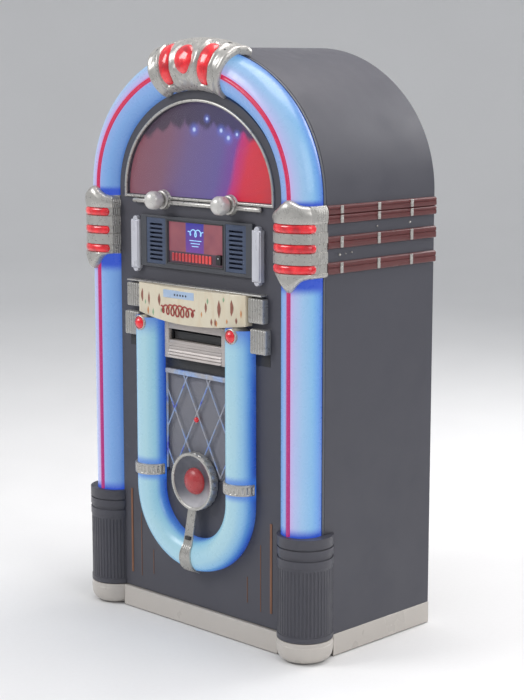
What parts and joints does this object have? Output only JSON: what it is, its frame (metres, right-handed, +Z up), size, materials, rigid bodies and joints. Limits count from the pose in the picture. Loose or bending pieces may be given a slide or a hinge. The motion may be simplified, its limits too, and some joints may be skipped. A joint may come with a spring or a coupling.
{
  "type": "jukebox",
  "caption": "Full-height arched jukebox with lit tubes round a domed window, a hinged front, a disc changer and a rear service door.",
  "frame": {"origin": "on the floor, under the middle of the whole object's box", "axes": "+X to the viewer's right seen from the front, -Y towards the viewer (the front), +Z up"},
  "size_m": [0.826, 0.51, 1.485],
  "materials": {
    "charcoal_cabinet": "dark charcoal satin lacquer",
    "charcoal_panel": "dark charcoal pebbled laminate",
    "cream_paint": "warm off-white enamel",
    "bare_board": "unfinished particle board",
    "black_rubber": "matt",
    "back_board": "black painted board",
    "red_brown_band": "dark red-brown anodised look",
    "bright_metal": "polished",
    "cast_silver": "satin silver over die cast metal",
    "steel": "zinc plated",
    "cone_paper": "pressed paper",
    "amp_metal": "grey chassis paint",
    "inlet_plastic": "moulded",
    "changer_plastic": "moulded",
    "disc_polycarbonate": "iridescent",
    "tube_blue": "translucent, lit from inside, pale blue",
    "tube_crimson": "translucent, lit, crimson",
    "tube_cyan": "translucent, lit, pale cyan",
    "charcoal_socket": "satin moulded plastic",
    "jewel_red": "glossy translucent",
    "dome_glass": "clear",
    "dome_colours": "lit backdrop, red to violet",
    "bezel_plastic": "satin",
    "screen_glow": "lit display",
    "louvre_blue": "slate blue satin",
    "cream_title": "cream, speckled decoration",
    "grille_cloth": "woven grey cloth",
    "copper": "dull copper",
    "lamp_white": "frosted",
    "gel_blue": "banded colour sleeve",
    "knob_white": "polished",
    "black_plastic": "moulded"
  },
  "bodies": {
    "cabinet": {"cabinet_shell": "charcoal_cabinet", "plinth": "cream_paint", "front_feet": "cream_paint", "floor_board": "bare_board", "levelling_glides": "black_rubber", "back_frame": "back_board", "side_bands": "red_brown_band", "band_studs": "bright_metal", "mech_shelf": "bare_board", "speaker_baffle": "back_board", "woofer_frame": "amp_metal", "woofer_cone": "cone_paper", "amplifier": "amp_metal", "power_supply": "steel", "mains_inlet": "inlet_plastic", "cabinet_hinges": "steel", "changer_base": "steel", "disc_player": "changer_plastic"},
    "rear_door": {"rear_door": "back_board"},
    "rear_lock": {"rear_lock": "bright_metal"},
    "carousel": {"disc_carousel": "changer_plastic", "discs": "disc_polycarbonate"},
    "transfer_arm": {"transfer_arm": "steel"},
    "spindle": {"disc_spindle": "bright_metal"},
    "front_door": {"door_backplate": "amp_metal", "front_panel": "charcoal_panel", "outer_tubes": "tube_blue", "bubble_tubes": "tube_crimson", "pilaster_left": "charcoal_socket", "pilaster_right": "charcoal_socket", "side_casting_left": "cast_silver", "side_casting_right": "cast_silver", "crown_casting": "cast_silver", "red_inserts": "jewel_red", "dome_trim": "cream_paint", "dome_glass": "dome_glass", "dome_backdrop": "dome_colours", "display_bezel": "bezel_plastic", "display_screen": "screen_glow", "louvres": "louvre_blue", "handle_bars": "bright_metal", "title_panel": "cream_title", "end_blocks": "cast_silver", "coin_housing": "cast_silver", "u_tubes": "tube_cyan", "tube_clamps": "cast_silver", "lattice": "cast_silver", "horn": "cast_silver", "grille_cloth": "grille_cloth", "trim_strips": "copper", "lamps": "lamp_white", "door_hinges": "steel"},
    "colour_cylinder_left": {"colour_cylinder_left": "gel_blue"},
    "colour_cylinder_right": {"colour_cylinder_right": "gel_blue"},
    "volume_knob": {"volume_knob": "knob_white"},
    "tone_knob": {"tone_knob": "knob_white"},
    "button_left": {"button_left": "jewel_red"},
    "button_right": {"button_right": "jewel_red"},
    "return_flap": {"return_flap": "black_plastic"},
    "cancel_key": {"cancel_key": "black_plastic"}
  },
  "joints": [
    {"name": "front_door_hinge", "type": "hinge", "parent": "cabinet", "child": "front_door", "pos_m": [-0.402, -0.117, 0.629], "axis": [0, 0, -1], "range_deg": [0, 95]},
    {"name": "rear_door_hinge", "type": "hinge", "parent": "cabinet", "child": "rear_door", "pos_m": [-0.369, 0.25, 0.6], "axis": [0, 0, 1], "range_deg": [0, 105]},
    {"name": "rear_lock_turn", "type": "hinge", "parent": "rear_door", "child": "rear_lock", "pos_m": [0.34, 0.237, 0.6], "axis": [0, 1, 0], "range_deg": [-90, 0]},
    {"name": "carousel_turn", "type": "hinge", "parent": "cabinet", "child": "carousel", "pos_m": [-0.11, 0.039, 0.64], "axis": [0, 0, 1], "continuous": true},
    {"name": "transfer_arm_swing", "type": "hinge", "parent": "cabinet", "child": "transfer_arm", "pos_m": [0.086, 0.103, 0.78], "axis": [0, 0, 1], "range_deg": [-90, 90]},
    {"name": "spindle_turn", "type": "hinge", "parent": "cabinet", "child": "spindle", "pos_m": [0.21, 0.071, 0.69], "axis": [0, 1, 0], "continuous": true},
    {"name": "colour_cylinder_left_turn", "type": "hinge", "parent": "front_door", "child": "colour_cylinder_left", "pos_m": [-0.337, -0.183, 0.6], "axis": [0, 0, 1], "continuous": true},
    {"name": "colour_cylinder_right_turn", "type": "hinge", "parent": "front_door", "child": "colour_cylinder_right", "pos_m": [0.337, -0.183, 0.6], "axis": [0, 0, 1], "continuous": true},
    {"name": "volume_knob_turn", "type": "hinge", "parent": "front_door", "child": "volume_knob", "pos_m": [-0.118, -0.217, 1.086], "axis": [0, -1, 0], "range_deg": [-150, 150]},
    {"name": "tone_knob_turn", "type": "hinge", "parent": "front_door", "child": "tone_knob", "pos_m": [0.118, -0.217, 1.086], "axis": [0, -1, 0], "range_deg": [-150, 150]},
    {"name": "button_left_press", "type": "slide", "parent": "front_door", "child": "button_left", "axis": [0, 1, 0], "range_m": [0, 0.004], "stiffness_N_per_m": 300, "springref_m": -0.002},
    {"name": "button_right_press", "type": "slide", "parent": "front_door", "child": "button_right", "axis": [0, 1, 0], "range_m": [0, 0.004], "stiffness_N_per_m": 300, "springref_m": -0.002},
    {"name": "return_flap_swing", "type": "hinge", "parent": "front_door", "child": "return_flap", "pos_m": [0, -0.192, 0.757], "axis": [1, 0, 0], "range_deg": [0, 45]},
    {"name": "cancel_key_press", "type": "slide", "parent": "front_door", "child": "cancel_key", "axis": [0, 1, 0], "range_m": [0, 0.003], "stiffness_N_per_m": 200, "springref_m": -0.002}
  ]
}
